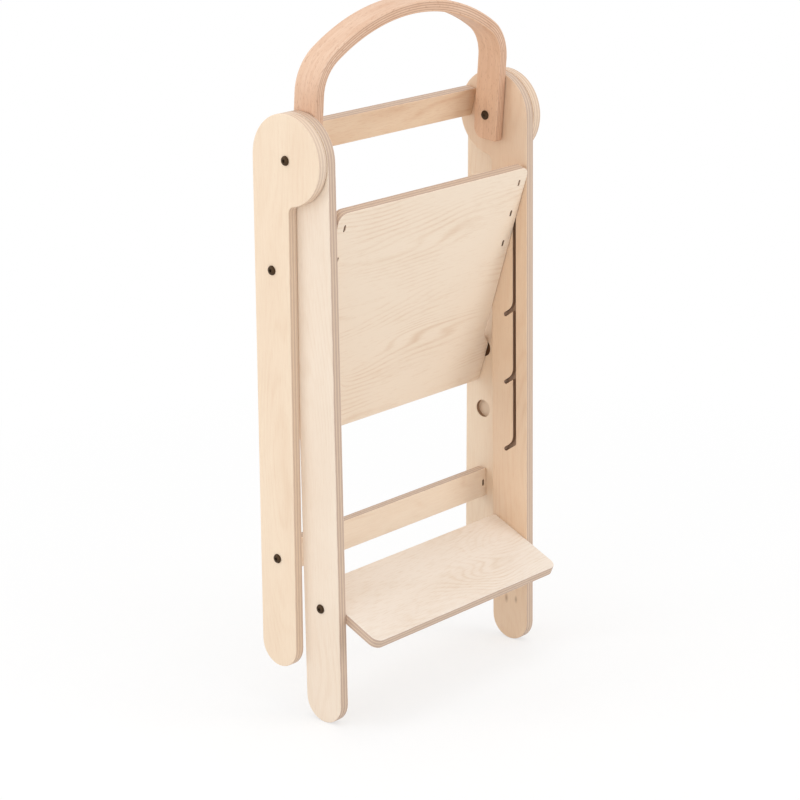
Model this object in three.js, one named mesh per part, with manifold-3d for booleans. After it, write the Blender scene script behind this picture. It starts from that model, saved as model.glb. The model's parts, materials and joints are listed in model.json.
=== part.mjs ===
// Folding learning tower in birch plywood with a bent beech arch, shown folded flat.
// Lengths are in millimetres and angles in degrees. +X is the tower's right, +Y its back, +Z up.
// The inner pair of legs carries the step, the outer pair carries two rails, and both pairs
// turn on the same pivot bolts. The platform turns on pegs in the outer legs, and its front
// pins ride in grooves in the inner legs, whose hooks hold it at one of three heights.
import * as THREE from 'three';
import { mergeVertices, toCreasedNormals } from 'three/addons/utils/BufferGeometryUtils.js';
import Module from 'manifold-3d';

const wasm = await Module();
wasm.setup();

// Stock and clearances
const board = 15;
const edgeRound = 1;
const seatGap = 0.3;
const cutOverrun = 2;
const edgeBreak = 0.6;

// Legs
const insideWidth = 394;
const headRadius = 63.5;
const legWidth = 67.6;
const notchRadius = 10;
const frontReach = 817;
const frontLean = 23.5;
const rearLean = 4.5;
const foldedAngle = 0.9;

// Groove in each inner leg
const grooveInset = 23.8;
const grooveWidth = 6.4;
const grooveDepth = 7;
const grooveHeadroom = 2;
const firstHook = 299.5;
const hookPitch = 105.4;
const hookCount = 3;
const hookReach = 17.5;
const hookDrop = 12;
const hookRound = 20;

// Peg recesses in each outer leg
const recessRadius = 13.5;
const recessDepth = 7;

// Step
const stepBelowPivot = 640;
const stepBoltBelow = 3.5;
const stepFront = 99.5;
const stepBack = 34.5;
const stepCorner = 13;
const stepRearCorner = 4;

// Platform
const levelInUse = 1;
const platformSideGap = 0.8;
const platformNose = 23.5;
const platformTail = 52.5;
const platformCorner = 14;
const tailCorner = 5;
const flareLength = 30;
const flareBend = 13;
const earFlat = 6;

// Rails and top bar
const railHeight = 45;
const railCorner = 2.5;
const upperRailBelowPivot = 157;
const lowerRailBelowPivot = 579.5;
const barHeight = 42.4;
const barBack = 37;
const barRise = 12.8;
const barTilt = 15;

// Arch
const archThickness = 16.5;
const archWidth = 42;
const archTop = 192;
const archTail = 36;
const archShoulder = 70;
const archCrown = 300;
const archTailRound = 17;
const archEdgeRound = 2.2;
const archLean = 5;

// Bolts with flanged button heads, their nuts and the slots that the nuts lie in
const boltHeadRadius = 6.8;
const boltHeadHeight = 3.3;
const boltRim = 0.9;
const boltCrown = 2.8;
const shankRadius = 3;
const socketAcross = 4;
const socketDepth = 2;
const nutWidth = 8.8;
const nutThickness = 3;
const railNutInset = 7;
const stepNutInset = 15;
const platformNutInset = 14.8;
const boltPastNut = 6;

// The sleeve nuts and washers of the pivot bolts
const sleeveRadius = 4.6;
const sleeveHeadHeight = 1.6;
const sleeveGrip = 12;
const washerThickness = 0.8;
const washerRadius = 12;

// Screws, dowels, pins and pegs
const screwRadius = 2.2;
const screwHeadRadius = 4.4;
const screwLength = 48;
const barScrewSpread = 19;
const dowelRadius = 4;
const dowelInLeg = 9;
const dowelInStep = 24;
const dowelAhead = 26;
const pegScrewLength = 30;

// Facets
const headSteps = 36;
const footSteps = 16;
const filletSteps = 6;
const smallSteps = 3;
const flareSteps = 8;
const recessSteps = 24;
const washerSteps = 20;
const shankSteps = 12;
const boltSteps = 14;
const hexagonSides = 6;
const buttonRings = 2;
const grooveSteps = 8;
const shoulderSteps = 9;
const crownSteps = 16;
const bevelSteps = 2;
const creaseAngle = 30;

// Sizes that follow from the ones above
const legGap = washerThickness + 2 * seatGap;
const frontInner = insideWidth / 2;
const frontOuter = frontInner + board;
const rearInner = frontOuter + legGap;
const rearOuter = rearInner + board;
const archOuter = frontInner - legGap;
const archInner = archOuter - archThickness;
const legOffset = headRadius - legWidth / 2;
const platformHalf = frontInner - platformSideGap;
const earHalf = rearInner - platformSideGap;
const barEnd = frontInner - seatGap;
const railEnd = rearInner - seatGap;
const pivot = { y: 0, z: 0 };

function radians(degrees) {
  return THREE.MathUtils.degToRad(degrees);
}

// Turns a point of the side view about the X axis.
function turned(point, degrees) {
  const cosine = Math.cos(radians(degrees));
  const sine = Math.sin(radians(degrees));
  return { y: point.y * cosine - point.z * sine, z: point.y * sine + point.z * cosine };
}

// A point of the side view, from its places along the step and above its middle.
function alongStep(along, above) {
  const shift = turned({ y: along, z: above }, frontLean);
  return { y: stepCentre.y + shift.y, z: stepCentre.z + shift.z };
}

// The outer leg is as long as it takes for all four feet to stand on the floor when open.
const frontFoot = { y: -legOffset, z: legWidth / 2 - frontReach };
const openFootHeight = turned(frontFoot, -frontLean).z;
const rearRise = legOffset * Math.sin(radians(rearLean));
const rearFootDrop = (rearRise - openFootHeight) / Math.cos(radians(rearLean));
const rearReach = rearFootDrop + legWidth / 2;

// Each hook, and the peg recess that makes the platform level on that hook when open.
const grooveY = grooveInset - headRadius;
const levels = [];
for (let index = 0; index < hookCount; index += 1) {
  const drop = firstHook + index * hookPitch;
  const bend = { y: grooveY, z: hookDrop - drop };
  const end = { y: grooveY + hookReach, z: -drop };
  const openEnd = turned(end, -frontLean);
  const recessDrop = (rearRise - openEnd.z) / Math.cos(radians(rearLean));
  const recess = { y: legOffset, z: -recessDrop };
  const span = turned(recess, rearLean).y - openEnd.y;
  levels.push({ bend, end, recess, span });
}

// Folded, the platform leans from its pegs to its pins at the top of the grooves.
const used = levels[levelInUse];
const peg = turned(used.recess, foldedAngle);
const pegAheadOfGroove = peg.y - grooveY;
const pinTop = { y: grooveY, z: peg.z + Math.sqrt(used.span ** 2 - pegAheadOfGroove ** 2) };
const platformTurn = Math.atan2(peg.z - pinTop.z, pegAheadOfGroove);

// The step is level when the tower is open, so folded it tilts with the inner legs.
const stepTurn = radians(frontLean);
const stepCentre = { y: -legOffset, z: -stepBelowPivot };
const stepBoltPlace = alongStep(0, -stepBoltBelow);
const stepDowel = alongStep(-dowelAhead, 0);

// The top bar's middle, half a board behind the point of its front face that its place names.
const barCentre = {
  y: barBack + (board / 2) * Math.cos(radians(barTilt)),
  z: barRise + (board / 2) * Math.sin(radians(barTilt)),
};

// Materials
function birch() {
  return new THREE.MeshStandardMaterial({ color: 0xecd6bb, roughness: 0.55, metalness: 0 });
}

function beech() {
  return new THREE.MeshStandardMaterial({ color: 0xdcb496, roughness: 0.5, metalness: 0 });
}

function blackSteel() {
  return new THREE.MeshStandardMaterial({ color: 0x1c1b1a, roughness: 0.45, metalness: 0.6 });
}

function zinc() {
  return new THREE.MeshStandardMaterial({ color: 0xb9bcc0, roughness: 0.35, metalness: 1 });
}

function nylon() {
  return new THREE.MeshStandardMaterial({ color: 0xe9e7e2, roughness: 0.6, metalness: 0 });
}

// Solids and cuts
function solidOf(geometry) {
  const plain = geometry.clone();
  plain.deleteAttribute('normal');
  plain.deleteAttribute('uv');
  const merged = mergeVertices(plain);
  const corners = merged.index.array;
  const kept = [];
  for (let at = 0; at < corners.length; at += 3) {
    const [a, b, c] = corners.slice(at, at + 3);
    if (a !== b && b !== c && c !== a) kept.push(a, b, c);
  }
  const vertProperties = new Float32Array(merged.attributes.position.array);
  const triVerts = new Uint32Array(kept);
  return new wasm.Manifold(new wasm.Mesh({ numProp: 3, vertProperties, triVerts }));
}

function geometryOf(solid) {
  const mesh = solid.getMesh();
  const geometry = new THREE.BufferGeometry();
  geometry.setAttribute('position', new THREE.BufferAttribute(new Float32Array(mesh.vertProperties), 3));
  geometry.setIndex(new THREE.BufferAttribute(new Uint32Array(mesh.triVerts), 1));
  return geometry;
}

function cut(body, cutters) {
  let solid = solidOf(body);
  for (const cutter of cutters) solid = solid.subtract(solidOf(cutter));
  return geometryOf(solid);
}

function whole(geometry) {
  return geometryOf(solidOf(geometry));
}

function common(first, second) {
  return geometryOf(solidOf(first).intersect(solidOf(second)));
}

// The same piece for the other side of the tower.
function mirrored(geometry) {
  const copy = whole(geometry).scale(-1, 1, 1);
  const corners = copy.index.array;
  for (let at = 0; at < corners.length; at += 3) {
    [corners[at + 1], corners[at + 2]] = [corners[at + 2], corners[at + 1]];
  }
  return copy;
}

// A shape of the XY plane given a thickness along Z, centred on the plane.
function extruded(shape, thickness, round = 0) {
  const geometry = new THREE.ExtrudeGeometry(shape, {
    depth: thickness - 2 * round,
    bevelEnabled: round > 0,
    bevelThickness: round,
    bevelSize: round,
    bevelOffset: -round,
    bevelSegments: bevelSteps,
  });
  geometry.translate(0, 0, round - thickness / 2);
  return geometry;
}

// The same shape stood up, seen from the front, with its thickness along Y.
function frontExtruded(shape, thickness, round = 0) {
  return extruded(shape, thickness, round).rotateX(Math.PI / 2);
}

// The same shape seen from the side: its own X runs along Y, its own Y along Z.
function sideExtruded(shape, fromX, toX, round = 0) {
  const geometry = frontExtruded(shape, toX - fromX, round).rotateZ(Math.PI / 2);
  return geometry.translate((fromX + toX) / 2, 0, 0);
}

// Revolves an outline of radius and place along X, then sets it on a point of the side view.
function revolved(outline, centre, steps) {
  const points = outline.map(([radius, place]) => new THREE.Vector2(radius, place));
  const geometry = new THREE.LatheGeometry(points, steps).rotateZ(-Math.PI / 2);
  return geometry.translate(0, centre.y, centre.z);
}

function roundBar(radius, fromX, toX, centre, steps = shankSteps) {
  return revolved([[0, fromX], [radius, fromX], [radius, toX], [0, toX]], centre, steps);
}

// Outlines
function arcPoints(centreX, centreY, radius, start, end, steps) {
  const points = [];
  for (let step = 0; step <= steps; step += 1) {
    const angle = start + ((end - start) * step) / steps;
    points.push(new THREE.Vector2(centreX + radius * Math.cos(angle), centreY + radius * Math.sin(angle)));
  }
  return points;
}

function roundedRectangle(left, bottom, right, top, lowRadius, highRadius, steps) {
  const quarter = Math.PI / 2;
  return new THREE.Shape([
    ...arcPoints(right - lowRadius, bottom + lowRadius, lowRadius, -quarter, 0, steps),
    ...arcPoints(right - highRadius, top - highRadius, highRadius, 0, quarter, steps),
    ...arcPoints(left + highRadius, top - highRadius, highRadius, quarter, 2 * quarter, steps),
    ...arcPoints(left + lowRadius, bottom + lowRadius, lowRadius, 2 * quarter, 3 * quarter, steps),
  ]);
}

// A slot with round ends between two points of the side view.
function obround(from, to, radius) {
  const angle = Math.atan2(to.z - from.z, to.y - from.y);
  const quarter = Math.PI / 2;
  return new THREE.Shape([
    ...arcPoints(to.y, to.z, radius, angle - quarter, angle + quarter, grooveSteps),
    ...arcPoints(from.y, from.z, radius, angle + quarter, angle + 3 * quarter, grooveSteps),
  ]);
}

// A leg from the side: a round head on the pivot, a straight leg flush with one side of the
// head, a hollow under the head's other side and a half-round foot. Flush is 1 for a leg on
// the head's back and -1 for one on its front.
function legOutline(reach, flush) {
  const edge = headRadius - legWidth;
  const hollowY = edge - notchRadius;
  const hollowZ = -Math.sqrt((headRadius + notchRadius) ** 2 - hollowY ** 2);
  const meet = Math.atan2(hollowZ, hollowY);
  const footZ = legWidth / 2 - reach;
  const points = [
    ...arcPoints(0, 0, headRadius, 0, 2 * Math.PI + meet, headSteps),
    ...arcPoints(hollowY, hollowZ, notchRadius, Math.PI + meet, 0, filletSteps),
    ...arcPoints(legOffset, footZ, legWidth / 2, Math.PI, 2 * Math.PI, footSteps),
  ];
  return new THREE.Shape(points.map((point) => new THREE.Vector2(flush * point.x, point.y)));
}

// The wood taken from the corner above a hook, rounded so that the pin slides in.
function hookCorner(level) {
  const slope = Math.atan2(level.bend.z - level.end.z, level.end.y - level.bend.y);
  const turn = Math.PI / 2 - slope;
  const cornerRise = (grooveWidth / 2) * Math.tan(turn / 2);
  const tangent = hookRound * Math.tan(turn / 2);
  const centreY = level.bend.y + grooveWidth / 2 + hookRound;
  const centreZ = level.bend.z + cornerRise + tangent;
  return new THREE.Shape([
    new THREE.Vector2(level.bend.y, level.bend.z),
    ...arcPoints(centreY, centreZ, hookRound, Math.PI + turn, Math.PI, filletSteps),
  ]);
}

// The arch from the front at a distance inside its outer face: straight sides, round
// shoulders and a flatter crown, each running smoothly into the next.
function archLine(inset) {
  const shoulderX = archOuter - archShoulder;
  const crownZ = archTop - archCrown;
  const shoulderZ = crownZ + Math.sqrt((archCrown - archShoulder) ** 2 - shoulderX ** 2);
  const meet = Math.atan2(shoulderZ - crownZ, shoulderX);
  const shoulder = archShoulder - inset;
  return [
    new THREE.Vector2(archOuter - inset, -archTail),
    ...arcPoints(shoulderX, shoulderZ, shoulder, 0, meet, shoulderSteps),
    ...arcPoints(0, crownZ, archCrown - inset, meet, Math.PI - meet, crownSteps),
    ...arcPoints(-shoulderX, shoulderZ, shoulder, Math.PI - meet, Math.PI, shoulderSteps),
    new THREE.Vector2(inset - archOuter, -archTail),
  ];
}

// The platform from above, with its pegs' axis at zero and its nose towards the front: it
// fits between the inner legs, then widens to ears that fit between the outer legs.
function platformOutline() {
  const nose = -(levels[hookCount - 1].span + platformNose);
  const flareStart = -(earFlat + flareLength);
  const flare = new THREE.CubicBezierCurve(
    new THREE.Vector2(platformHalf, flareStart),
    new THREE.Vector2(platformHalf, flareStart + flareBend),
    new THREE.Vector2(earHalf, -earFlat - flareBend),
    new THREE.Vector2(earHalf, -earFlat),
  );
  const noseX = platformHalf - platformCorner;
  const tailX = earHalf - tailCorner;
  const right = [
    ...arcPoints(noseX, nose + platformCorner, platformCorner, -Math.PI / 2, 0, filletSteps),
    ...flare.getPoints(flareSteps),
    ...arcPoints(tailX, platformTail - tailCorner, tailCorner, 0, Math.PI / 2, smallSteps),
  ];
  const left = right.map((point) => new THREE.Vector2(-point.x, point.y)).reverse();
  return new THREE.Shape([...right, ...left]);
}

// Fasteners, each along X with its tip inward and its head outward

// The side of a button head from its rim to its flat, going one way along X.
function buttonHead(seat, way, height = boltHeadHeight) {
  const dome = height - boltRim;
  const rings = [[boltHeadRadius, seat]];
  for (let ring = 0; ring <= buttonRings; ring += 1) {
    const angle = (ring / buttonRings) * (Math.PI / 2);
    const radius = boltCrown + (boltHeadRadius - boltCrown) * Math.cos(angle);
    rings.push([radius, seat + way * (boltRim + dome * Math.sin(angle))]);
  }
  rings.push([0, seat + way * height]);
  return rings;
}

function bolt(tip, seat, centre) {
  const outline = [
    [0, tip],
    [shankRadius - edgeBreak, tip],
    [shankRadius, tip + edgeBreak],
    [shankRadius, seat],
    ...buttonHead(seat, 1),
  ];
  return cut(revolved(outline, centre, boltSteps), [socket(seat + boltHeadHeight, 1, centre)]);
}

// The hexagon socket in a head whose face lies at a place along X and looks one way.
function socket(face, way, centre) {
  const length = socketDepth + cutOverrun;
  const across = socketAcross / Math.sqrt(3);
  const hexagon = new THREE.CylinderGeometry(across, across, length, hexagonSides).rotateZ(Math.PI / 2);
  return hexagon.translate(face + way * (length / 2 - socketDepth), centre.y, centre.z);
}

function washer(bore, fromX, centre) {
  const toX = fromX + washerThickness;
  const outline = [[bore, fromX], [washerRadius, fromX], [washerRadius, toX], [bore, toX], [bore, fromX]];
  return whole(revolved(outline, centre, washerSteps));
}

// The nut of a pivot bolt: a low head on the arch's inside and a sleeve that the arch turns on.
function sleeveNut() {
  const seat = archInner - seatGap;
  const end = frontInner + sleeveGrip;
  const floor = seat + socketDepth;
  const bore = shankRadius + seatGap;
  const outline = [
    ...buttonHead(seat, -1, sleeveHeadHeight).reverse(),
    [sleeveRadius, seat],
    [sleeveRadius, end],
    [bore, end],
    [bore, floor],
    [0, floor],
  ];
  return cut(revolved(outline, pivot, boltSteps), [socket(seat - sleeveHeadHeight, -1, pivot)]);
}

function pivotBolt() {
  return bolt(archInner + socketDepth + seatGap, rearOuter + seatGap, pivot);
}

// A bolt that draws a board's end against a leg, through the leg from its outer face.
function boardBolt(legOuter, boardEnd, nutInset, centre) {
  return bolt(boardEnd - nutInset - boltPastNut, legOuter + seatGap, centre);
}

// A square nut on edge, with its bore along X.
function squareNut(place, centre) {
  const half = nutWidth / 2;
  const square = roundedRectangle(-half, -half, half, half, edgeBreak, edgeBreak, 1);
  square.holes.push(new THREE.Path(arcPoints(0, 0, shankRadius + seatGap, 0, 2 * Math.PI, shankSteps)));
  const nut = sideExtruded(square, place - nutThickness / 2, place + nutThickness / 2);
  return whole(nut.translate(0, centre.y, centre.z));
}

// The cuts that let a nut into a board from one of its faces, and a bolt into its end. The
// board lies flat with its middle at zero, and the nut's slot is open below.
function nutSlot(boardEnd, nutInset, y) {
  const x = boardEnd - nutInset;
  const half = nutThickness / 2 + 2 * seatGap;
  const depth = board / 2 + nutWidth / 2 + seatGap + cutOverrun;
  const roundEnd = half - Math.sqrt(half ** 2 - (nutThickness / 2) ** 2);
  const halfLength = nutWidth / 2 + seatGap + roundEnd;
  const corners = [half, half, smallSteps];
  const outline = roundedRectangle(x - half, y - halfLength, x + half, y + halfLength, ...corners);
  const bottom = -(board / 2 + cutOverrun);
  return extruded(outline, depth).translate(0, 0, bottom + depth / 2);
}

function boltBore(boardEnd, nutInset, centre) {
  const tip = boardEnd - nutInset - boltPastNut - 2 * seatGap;
  return roundBar(shankRadius + seatGap, tip, boardEnd + cutOverrun, centre);
}

// Legs
function grooveCutters() {
  const lowest = levels[hookCount - 1];
  const radius = grooveWidth / 2;
  const top = { y: grooveY, z: pinTop.z + grooveHeadroom };
  const shapes = [obround(lowest.bend, top, radius)];
  for (const level of levels) {
    shapes.push(obround(level.bend, level.end, radius));
    shapes.push(hookCorner(level));
  }
  return shapes.map((shape) => sideExtruded(shape, frontInner - cutOverrun, frontInner + grooveDepth));
}

function barScrewPlaces() {
  return [-1, 1].map((way) => {
    const along = (way * barScrewSpread) / 2;
    return {
      y: barCentre.y - along * Math.sin(radians(barTilt)),
      z: barCentre.z + along * Math.cos(radians(barTilt)),
    };
  });
}

function frontLeg() {
  const blank = sideExtruded(legOutline(frontReach, -1), frontInner, frontOuter, edgeRound);
  const fromX = frontInner - cutOverrun;
  const toX = frontOuter + cutOverrun;
  const holes = [
    roundBar(sleeveRadius + seatGap, fromX, toX, pivot),
    roundBar(shankRadius + seatGap, fromX, toX, stepBoltPlace),
    roundBar(dowelRadius + seatGap, fromX, frontInner + dowelInLeg + seatGap, stepDowel),
  ];
  for (const place of barScrewPlaces()) {
    holes.push(revolved(screwOutline(seatGap, cutOverrun), place, shankSteps));
  }
  return cut(blank, [...grooveCutters(), ...holes]);
}

function rearLeg() {
  const blank = sideExtruded(legOutline(rearReach, 1), rearInner, rearOuter, edgeRound);
  const fromX = rearInner - cutOverrun;
  const toX = rearOuter + cutOverrun;
  const holes = [roundBar(shankRadius + seatGap, fromX, toX, pivot)];
  for (const drop of [upperRailBelowPivot, lowerRailBelowPivot]) {
    holes.push(roundBar(shankRadius + seatGap, fromX, toX, { y: legOffset, z: -drop }));
  }
  for (const level of levels) {
    holes.push(roundBar(recessRadius, fromX, rearInner + recessDepth, level.recess, recessSteps));
  }
  return cut(blank, holes);
}

// Boards. Each lies flat in its own frame, and its mesh is turned and set in place.
function rail() {
  const half = railHeight / 2;
  const outline = roundedRectangle(-railEnd, -half, railEnd, half, railCorner, railCorner, smallSteps);
  const cutters = [nutSlot(railEnd, railNutInset, 0), boltBore(railEnd, railNutInset, pivot)];
  return cut(extruded(outline, board, edgeRound), bothSides(cutters));
}

function stepBoard() {
  const corners = [stepCorner, stepRearCorner, filletSteps];
  const outline = roundedRectangle(-barEnd, -stepFront, barEnd, stepBack, ...corners);
  const dowelTip = barEnd - dowelInStep - seatGap;
  const dowelHole = roundBar(dowelRadius + seatGap, dowelTip, barEnd + cutOverrun, { y: -dowelAhead, z: 0 });
  const bore = boltBore(barEnd, stepNutInset, { y: 0, z: -stepBoltBelow });
  const cutters = [nutSlot(barEnd, stepNutInset, 0), bore, dowelHole];
  return cut(extruded(outline, board, edgeRound), bothSides(cutters));
}

function platformBoard() {
  const cutters = [];
  for (const level of levels) {
    cutters.push(nutSlot(platformHalf, platformNutInset, -level.span));
    cutters.push(boltBore(platformHalf, platformNutInset, { y: -level.span, z: 0 }));
  }
  const pegTip = earHalf - pegScrewLength - seatGap;
  cutters.push(roundBar(shankRadius + seatGap, pegTip, earHalf + cutOverrun, pivot));
  return cut(extruded(platformOutline(), board, edgeRound), bothSides(cutters));
}

function topBar() {
  const half = barHeight / 2;
  const outline = roundedRectangle(-barEnd, -half, barEnd, half, railCorner, railCorner, smallSteps);
  const tip = frontOuter - screwLength - seatGap;
  const cutters = [-1, 1].map((way) => {
    const centre = { y: (way * barScrewSpread) / 2, z: 0 };
    return roundBar(screwRadius + seatGap, tip, barEnd + cutOverrun, centre);
  });
  return cut(extruded(outline, board, edgeRound), bothSides(cutters));
}

// Cuts on the right, and the same cuts on the left.
function bothSides(cutters) {
  return cutters.flatMap((cutter) => [cutter, mirrored(cutter)]);
}

// The arch is a bent strip. Seen from the side its tail is rounded behind and square in front.
function archHandle() {
  const outline = new THREE.Shape([...archLine(0), ...archLine(archThickness).reverse()]);
  const strip = frontExtruded(outline, archWidth, archEdgeRound);
  const half = archWidth / 2;
  const back = half + cutOverrun;
  const low = -archTail - cutOverrun;
  const high = archTop + cutOverrun;
  const roundY = half - archTailRound;
  const roundZ = archTailRound - archTail;
  const side = new THREE.Shape([
    new THREE.Vector2(-back, low),
    new THREE.Vector2(roundY, low),
    ...arcPoints(roundY, roundZ, archTailRound, -Math.PI / 2, 0, filletSteps),
    new THREE.Vector2(back, roundZ),
    new THREE.Vector2(back, high),
    new THREE.Vector2(-back, high),
  ]);
  const room = sideExtruded(side, -archOuter - cutOverrun, archOuter + cutOverrun);
  const hole = roundBar(sleeveRadius + seatGap, archInner - cutOverrun, archOuter + cutOverrun, pivot);
  return cut(common(strip, room), bothSides([hole]));
}

// Screws and small round pieces
function screwOutline(clearance, overrun) {
  const shank = screwRadius + clearance;
  const head = screwHeadRadius + clearance;
  const face = frontOuter - seatGap;
  const tip = frontOuter - screwLength - clearance;
  const outline = [
    [0, tip],
    [shank, tip],
    [shank, face - (head - shank)],
    [head, face],
  ];
  if (overrun > 0) outline.push([head, face + overrun]);
  outline.push([0, face + overrun]);
  return outline;
}

function barScrew(place) {
  return whole(revolved(screwOutline(0, 0), place, shankSteps));
}

function dowel() {
  const fromX = barEnd - dowelInStep;
  const toX = frontInner + dowelInLeg;
  const outline = [
    [0, fromX],
    [dowelRadius - edgeBreak, fromX],
    [dowelRadius, fromX + edgeBreak],
    [dowelRadius, toX - edgeBreak],
    [dowelRadius - edgeBreak, toX],
    [0, toX],
  ];
  return whole(revolved(outline, stepDowel, shankSteps));
}

// The pin ends just short of the groove, which it would ride in, so that it clears the leg
// all the way while the platform's turn is tied to the fold.
function platformPin() {
  const tip = platformHalf - platformNutInset - boltPastNut;
  const outline = [
    [0, tip],
    [shankRadius - edgeBreak, tip],
    [shankRadius, tip + edgeBreak],
    [shankRadius, frontInner - seatGap],
    [0, frontInner - seatGap],
  ];
  return whole(revolved(outline, { y: -used.span, z: 0 }, shankSteps));
}

function platformPeg() {
  const disc = recessRadius - seatGap;
  const face = rearInner + recessDepth - seatGap;
  const outline = [
    [0, earHalf - pegScrewLength],
    [shankRadius, earHalf - pegScrewLength],
    [shankRadius, earHalf + seatGap],
    [disc, earHalf + seatGap],
    [disc, face - edgeBreak],
    [disc - edgeBreak, face],
    [0, face],
  ];
  return whole(revolved(outline, pivot, recessSteps));
}

// Assembly
function addPiece(group, name, geometry, material) {
  const mesh = new THREE.Mesh(toCreasedNormals(geometry, radians(creaseAngle)), material());
  mesh.name = name;
  group.add(mesh);
  return mesh;
}

function addPair(group, name, geometry, material) {
  addPiece(group, `${name}_right`, geometry, material);
  addPiece(group, `${name}_left`, mirrored(geometry), material);
}

// Stands a flat board up, its underside to the front, at a point of the side view.
function standUp(mesh, centre, tilt = 0) {
  mesh.rotation.x = radians(tilt) - Math.PI / 2;
  mesh.position.set(0, centre.y, centre.z);
}

function frontFrame() {
  const frame = new THREE.Group();
  addPair(frame, 'front_leg', frontLeg(), birch);
  const step = addPiece(frame, 'step_board', stepBoard(), birch);
  step.rotation.x = stepTurn;
  step.position.set(0, stepCentre.y, stepCentre.z);
  addPair(frame, 'step_bolt', boardBolt(frontOuter, barEnd, stepNutInset, stepBoltPlace), blackSteel);
  const stepNut = new THREE.Group();
  stepNut.rotation.x = stepTurn;
  stepNut.position.set(0, stepBoltPlace.y, stepBoltPlace.z);
  addPair(stepNut, 'step_nut', squareNut(barEnd - stepNutInset, pivot), zinc);
  frame.add(stepNut);
  addPair(frame, 'step_dowel', dowel(), birch);
  standUp(addPiece(frame, 'top_bar', topBar(), birch), barCentre, barTilt);
  barScrewPlaces().forEach((place, index) => {
    addPair(frame, `bar_screw_${index + 1}`, barScrew(place), blackSteel);
  });
  addPair(frame, 'pivot_bolt', pivotBolt(), blackSteel);
  addPair(frame, 'pivot_sleeve', sleeveNut(), blackSteel);
  addPair(frame, 'leg_washer', washer(shankRadius + seatGap, frontOuter + seatGap, pivot), nylon);
  addPair(frame, 'arch_washer', washer(sleeveRadius + seatGap, archOuter + seatGap, pivot), nylon);
  return frame;
}

function rearFrame() {
  const frame = new THREE.Group();
  frame.rotation.x = radians(foldedAngle);
  addPair(frame, 'rear_leg', rearLeg(), birch);
  const drops = { upper: upperRailBelowPivot, lower: lowerRailBelowPivot };
  for (const [place, drop] of Object.entries(drops)) {
    const centre = { y: legOffset, z: -drop };
    standUp(addPiece(frame, `rear_${place}_rail`, rail(), birch), centre);
    addPair(frame, `${place}_rail_bolt`, boardBolt(rearOuter, railEnd, railNutInset, centre), blackSteel);
    addPair(frame, `${place}_rail_nut`, squareNut(railEnd - railNutInset, centre), zinc);
  }
  return frame;
}

function platform() {
  const frame = new THREE.Group();
  frame.rotation.x = platformTurn;
  frame.position.set(0, peg.y, peg.z);
  addPiece(frame, 'platform_board', platformBoard(), birch);
  addPair(frame, 'platform_pin', platformPin(), blackSteel);
  const nutPlace = { y: -used.span, z: 0 };
  addPair(frame, 'platform_nut', squareNut(platformHalf - platformNutInset, nutPlace), zinc);
  addPair(frame, 'platform_peg', platformPeg(), blackSteel);
  return frame;
}

function arch() {
  const frame = new THREE.Group();
  frame.rotation.x = radians(archLean);
  addPiece(frame, 'arch_handle', archHandle(), beech);
  return frame;
}

// The origin is the middle of the space that the folded tower takes, on its underside.
const tower = new THREE.Group();
tower.add(frontFrame(), rearFrame(), platform(), arch());
tower.updateMatrixWorld(true);
const space = new THREE.Box3().setFromObject(tower, true);
const middle = space.getCenter(new THREE.Vector3());
tower.position.set(-middle.x, -middle.y, -space.min.z);

export default tower;
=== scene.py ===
"""A folding learning tower: birch plywood boards, a bent beech arch and black button-head bolts.

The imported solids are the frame. Boards, dowels, nuts, screws, pins, pegs and washers show as
they are, the boards in a plywood whose plies run through them. The bent arch, the button-head bolts and
the pivots' sleeve nuts are made again here as smooth surfaces.
"""
import json
import math
from collections import namedtuple

import bpy
import numpy as np
from bpy.props import FloatProperty, FloatVectorProperty, IntProperty, PointerProperty
from mathutils import Matrix, Vector


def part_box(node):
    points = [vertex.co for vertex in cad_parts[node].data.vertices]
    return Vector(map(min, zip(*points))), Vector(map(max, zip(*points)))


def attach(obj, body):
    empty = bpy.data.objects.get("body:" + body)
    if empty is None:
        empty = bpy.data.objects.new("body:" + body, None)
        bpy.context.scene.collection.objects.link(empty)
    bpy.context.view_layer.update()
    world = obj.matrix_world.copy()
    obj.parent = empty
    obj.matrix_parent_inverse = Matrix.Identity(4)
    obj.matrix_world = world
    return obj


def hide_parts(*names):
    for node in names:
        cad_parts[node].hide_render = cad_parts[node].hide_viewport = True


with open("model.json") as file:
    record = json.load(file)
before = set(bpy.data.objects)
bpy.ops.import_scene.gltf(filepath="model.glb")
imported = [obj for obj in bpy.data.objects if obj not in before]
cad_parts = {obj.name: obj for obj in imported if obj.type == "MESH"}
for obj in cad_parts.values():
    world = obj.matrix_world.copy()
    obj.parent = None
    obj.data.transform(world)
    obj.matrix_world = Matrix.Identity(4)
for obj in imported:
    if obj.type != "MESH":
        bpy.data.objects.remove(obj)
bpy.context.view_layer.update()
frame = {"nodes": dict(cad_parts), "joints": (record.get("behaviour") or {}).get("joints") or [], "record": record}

bl_info = {
    "name": "Folding Learning Tower",
    "version": (1, 0, 0),
    "blender": (4, 5, 0),
    "location": "View3D > Sidebar > Learning Tower",
    "description": "Dresses the frame of a folding learning tower in birch plywood and beech",
    "category": "Object",
}

JOINTS = {joint["name"]: joint for joint in frame["joints"]}
PIVOT = Vector(JOINTS["frame_fold"]["pos_m"])
PEGS = Vector(JOINTS["platform_tilt"]["pos_m"])
SIDES = ("left", "right")

# Thickness of the boards and of the bent strip, in metres.
BOARD = 0.015
STRIP = 0.0165

# Rows of a bolt head's hexagon socket, and columns of a rounded corner of the strip.
SOCKET_ROWS = 4
CORNER_COLUMNS = 7

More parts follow.
